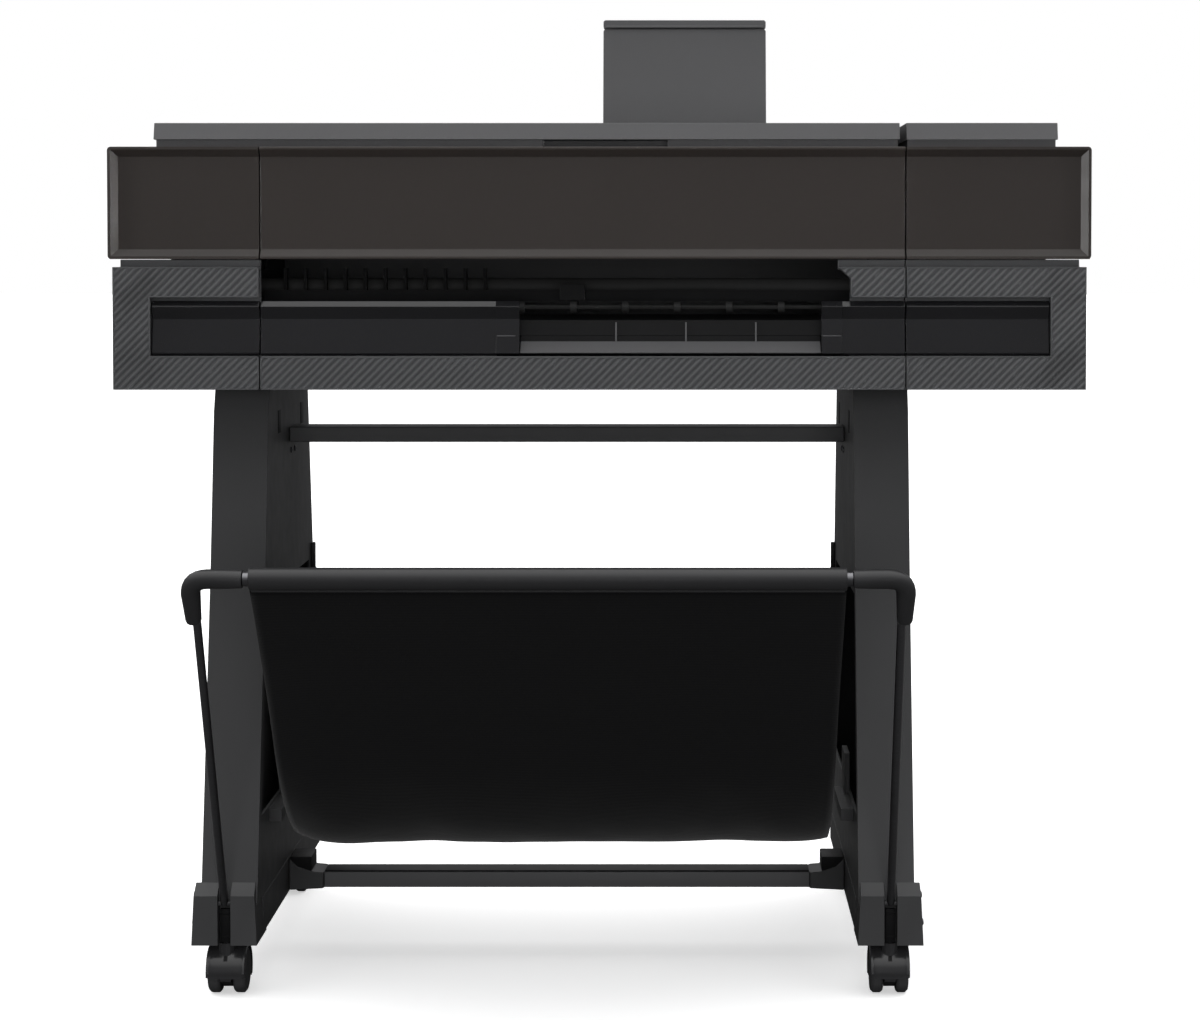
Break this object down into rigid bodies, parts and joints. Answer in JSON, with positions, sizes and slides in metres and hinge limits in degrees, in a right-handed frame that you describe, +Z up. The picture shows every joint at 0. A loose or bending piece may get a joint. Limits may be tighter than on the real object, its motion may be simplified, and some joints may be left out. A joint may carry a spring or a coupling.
{
  "type": "large format plotter",
  "caption": "Wide inkjet plotter on a wheeled two-leg stand, with hinged lids, roll spindle, rear paper rest and a folding fabric media bin.",
  "frame": {"origin": "on the floor, below the middle of the object's bounding box", "axes": "+X to the right seen from the front, +Y to the back, +Z up"},
  "size_m": [1.052, 0.7526, 1.0944],
  "materials": {
    "front_panel": "warm charcoal, fine satin",
    "ribbed_cover": "dark grey, satin, diagonal ribs",
    "casing": "dark grey, fine moulded grain",
    "gloss_band": "glossy black",
    "screen": "glossy black touch panel",
    "inner_plastic": "black moulded plastic",
    "cartridge": "black moulded plastic",
    "chassis_metal": "black painted sheet steel",
    "stand_metal": "dark grey powder coat",
    "steel": "dark satin steel",
    "roller_rubber": "matte black",
    "elbow_plastic": "black satin",
    "bin_fabric": "black woven polyester",
    "caster_plastic": "dark grey glossy nylon",
    "caster_tread": "dark grey tread"
  },
  "bodies": {
    "frame": {"chassis": "chassis_metal", "upper_left_panel": "front_panel", "upper_front_panel": "front_panel", "upper_right_panel": "front_panel", "left_end_cover": "ribbed_cover", "right_end_cover": "ribbed_cover", "front_fascia": "ribbed_cover", "left_band_outer": "gloss_band", "left_band_inner": "gloss_band", "right_band_inner": "gloss_band", "right_band_outer": "gloss_band", "rear_cover": "casing", "power_inlet": "inner_plastic", "output_platen": "inner_plastic", "feed_motor": "chassis_metal", "carriage_rail": "steel", "carriage_belt": "roller_rubber", "carriage_motor": "chassis_metal", "cartridge_dock": "inner_plastic", "ink_cartridge_1": "cartridge", "ink_cartridge_2": "cartridge", "ink_cartridge_3": "cartridge", "ink_cartridge_4": "cartridge", "left_leg": "stand_metal", "left_foot": "stand_metal", "right_leg": "stand_metal", "right_foot": "stand_metal", "upper_crossbar": "stand_metal", "lower_crossbar": "stand_metal", "rear_bin_bar": "steel", "bin_sling": "bin_fabric"},
    "main_lid": {"main_lid": "casing"},
    "roll_cover": {"roll_cover": "casing"},
    "paper_rest": {"paper_rest": "casing"},
    "rest_extension": {"paper_rest_extension": "casing"},
    "ink_lid": {"ink_lid": "casing", "control_screen": "screen"},
    "power_button": {"power_button": "inner_plastic"},
    "carriage": {"carriage": "inner_plastic"},
    "drive_pulley": {"drive_pulley": "steel"},
    "idler_pulley": {"idler_pulley": "steel"},
    "feed_roller": {"feed_roller": "roller_rubber", "feed_gear": "inner_plastic"},
    "feed_pinion": {"feed_pinion": "steel"},
    "exit_roller": {"exit_roller": "roller_rubber"},
    "cutter": {"cutter": "inner_plastic"},
    "roll_spindle": {"roll_spindle": "inner_plastic"},
    "bin_frame": {"bin_tube": "steel", "left_bin_elbow": "elbow_plastic", "right_bin_elbow": "elbow_plastic", "left_bin_rod": "steel", "right_bin_rod": "steel"},
    "front_left_caster": {"front_left_caster_hood": "caster_plastic"},
    "front_left_wheels": {"front_left_caster_wheels": "caster_tread"},
    "back_left_caster": {"back_left_caster_hood": "caster_plastic"},
    "back_left_wheels": {"back_left_caster_wheels": "caster_tread"},
    "front_right_caster": {"front_right_caster_hood": "caster_plastic"},
    "front_right_wheels": {"front_right_caster_wheels": "caster_tread"},
    "back_right_caster": {"back_right_caster_hood": "caster_plastic"},
    "back_right_wheels": {"back_right_caster_wheels": "caster_tread"}
  },
  "joints": [
    {"name": "main_lid_hinge", "type": "hinge", "parent": "frame", "child": "main_lid", "pos_m": [-0.079, 0.06484, 0.9495], "axis": [-1, 0, 0], "range_deg": [0, 75]},
    {"name": "roll_cover_hinge", "type": "hinge", "parent": "frame", "child": "roll_cover", "pos_m": [-0.079, 0.24884, 0.9495], "axis": [-1, 0, 0], "range_deg": [0, 60]},
    {"name": "paper_rest_hinge", "type": "hinge", "parent": "roll_cover", "child": "paper_rest", "pos_m": [0.09225, 0.23134, 0.955], "axis": [1, 0, 0], "range_deg": [0, 60]},
    {"name": "rest_extension_slide", "type": "slide", "parent": "paper_rest", "child": "rest_extension", "axis": [0, 0.1736, 0.9848], "range_m": [0, 0.09]},
    {"name": "ink_lid_hinge", "type": "hinge", "parent": "frame", "child": "ink_lid", "pos_m": [0.4125, 0.24884, 0.9495], "axis": [-1, 0, 0], "range_deg": [0, 70]},
    {"name": "power_button_press", "type": "slide", "parent": "ink_lid", "child": "power_button", "axis": [0, 0, -1], "range_m": [0, 0.0015], "stiffness_N_per_m": 300},
    {"name": "carriage_slide", "type": "slide", "parent": "frame", "child": "carriage", "axis": [-1, 0, 0], "range_m": [0, 0.755]},
    {"name": "drive_pulley_spin", "type": "hinge", "parent": "frame", "child": "drive_pulley", "pos_m": [0.465, 0.05934, 0.856], "axis": [0, 0, 1], "continuous": true},
    {"name": "idler_pulley_spin", "type": "hinge", "parent": "frame", "child": "idler_pulley", "pos_m": [-0.445, 0.05934, 0.856], "axis": [0, 0, 1], "continuous": true},
    {"name": "feed_roller_spin", "type": "hinge", "parent": "frame", "child": "feed_roller", "pos_m": [-0.045, -0.05666, 0.77], "axis": [1, 0, 0], "continuous": true},
    {"name": "feed_pinion_spin", "type": "hinge", "parent": "frame", "child": "feed_pinion", "pos_m": [-0.408, -0.00866, 0.77], "axis": [1, 0, 0], "continuous": true},
    {"name": "exit_roller_spin", "type": "hinge", "parent": "frame", "child": "exit_roller", "pos_m": [-0.045, -0.12666, 0.75], "axis": [1, 0, 0], "continuous": true},
    {"name": "cutter_slide", "type": "slide", "parent": "frame", "child": "cutter", "axis": [1, 0, 0], "range_m": [-0.3, 0.26]},
    {"name": "roll_spindle_spin", "type": "hinge", "parent": "frame", "child": "roll_spindle", "pos_m": [-0.045, 0.14334, 0.85], "axis": [1, 0, 0], "continuous": true},
    {"name": "bin_fold", "type": "hinge", "parent": "frame", "child": "bin_frame", "pos_m": [-0.0465, -0.16166, 0.104], "axis": [-1, 0, 0], "range_deg": [0, 37]},
    {"name": "front_left_swivel", "type": "hinge", "parent": "frame", "child": "front_left_caster", "pos_m": [-0.4075, -0.14666, 0.06], "axis": [0, 0, 1], "continuous": true},
    {"name": "front_left_roll", "type": "hinge", "parent": "front_left_caster", "child": "front_left_wheels", "pos_m": [-0.4075, -0.13266, 0.02469], "axis": [1, 0, 0], "continuous": true},
    {"name": "back_left_swivel", "type": "hinge", "parent": "frame", "child": "back_left_caster", "pos_m": [-0.4075, 0.32834, 0.06], "axis": [0, 0, 1], "continuous": true},
    {"name": "back_left_roll", "type": "hinge", "parent": "back_left_caster", "child": "back_left_wheels", "pos_m": [-0.4075, 0.34234, 0.02469], "axis": [1, 0, 0], "continuous": true},
    {"name": "front_right_swivel", "type": "hinge", "parent": "frame", "child": "front_right_caster", "pos_m": [0.3145, -0.14666, 0.06], "axis": [0, 0, 1], "continuous": true},
    {"name": "front_right_roll", "type": "hinge", "parent": "front_right_caster", "child": "front_right_wheels", "pos_m": [0.3145, -0.13266, 0.02469], "axis": [1, 0, 0], "continuous": true},
    {"name": "back_right_swivel", "type": "hinge", "parent": "frame", "child": "back_right_caster", "pos_m": [0.3145, 0.32834, 0.06], "axis": [0, 0, 1], "continuous": true},
    {"name": "back_right_roll", "type": "hinge", "parent": "back_right_caster", "child": "back_right_wheels", "pos_m": [0.3145, 0.34234, 0.02469], "axis": [1, 0, 0], "continuous": true}
  ],
  "couplings": [
    {"joint": "drive_pulley_spin", "follows": "carriage_slide", "rad_per_m": -111.11},
    {"joint": "idler_pulley_spin", "follows": "carriage_slide", "rad_per_m": -111.11},
    {"joint": "feed_pinion_spin", "follows": "feed_roller_spin", "ratio": -3},
    {"joint": "exit_roller_spin", "follows": "feed_roller_spin", "ratio": 1.8333}
  ]
}
